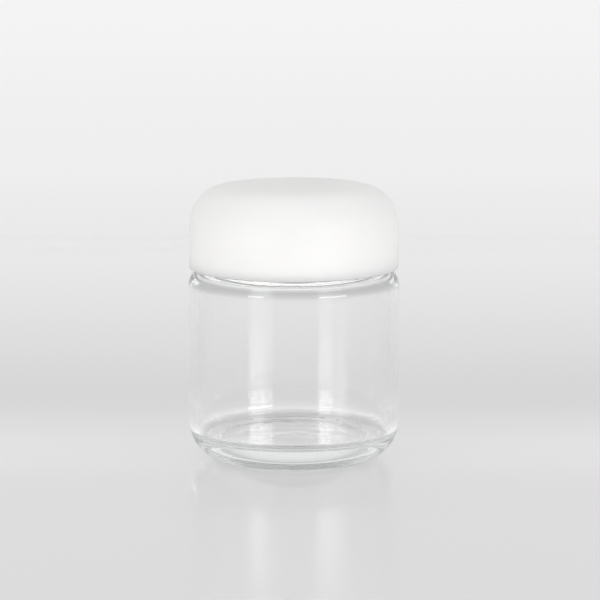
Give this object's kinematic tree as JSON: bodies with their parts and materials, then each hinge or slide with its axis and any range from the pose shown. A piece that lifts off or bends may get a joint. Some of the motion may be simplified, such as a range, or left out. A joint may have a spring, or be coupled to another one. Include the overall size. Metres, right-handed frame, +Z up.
{
  "type": "cosmetic cream jar",
  "caption": "Round clear glass cream jar with a thick base and threaded neck, closed by a satin white domed double-wall screw cap over a liner and a sealing disc.",
  "frame": {"origin": "centre of the base, on the surface that the jar stands on", "axes": "+Z up along the jar's axis, -Y towards the viewer; the jar is round, so X and Y only place the thread's start and the pull tab"},
  "size_m": [0.06, 0.06, 0.079],
  "materials": {
    "clear_glass": "clear polished flint glass, faint grey-green where it is thick",
    "satin_white": "opaque white moulded plastic with a fine satin surface",
    "moulded_white": "white moulded plastic, slightly glossier than the dome",
    "white_foam": "soft closed-cell foam sheet with a smooth skin",
    "milky_plastic": "thin milky flexible plastic"
  },
  "bodies": {
    "jar": {"glass_jar": "clear_glass"},
    "seal": {"sealing_disc": "milky_plastic"},
    "liner": {"liner_disc": "white_foam"},
    "cap": {"cap_shell": "satin_white", "cap_insert": "moulded_white"}
  },
  "joints": [
    {"name": "cap_rise", "type": "slide", "parent": "jar", "child": "liner", "axis": [0, 0, 1], "range_m": [0, 0.01482]},
    {"name": "cap_turn", "type": "hinge", "parent": "liner", "child": "cap", "pos_m": [0, 0, 0.0677], "axis": [0, 0, 1], "range_deg": [0, 1260]},
    {"name": "seal_lift", "type": "slide", "parent": "jar", "child": "seal", "axis": [0, 0, 1], "range_m": [0, 0.005]}
  ],
  "couplings": [
    {"joint": "cap_rise", "follows": "cap_turn", "m_per_rad": 0.00067376},
    {"joint": "seal_lift", "follows": "cap_turn", "m_per_rad": 0.00022736}
  ]
}
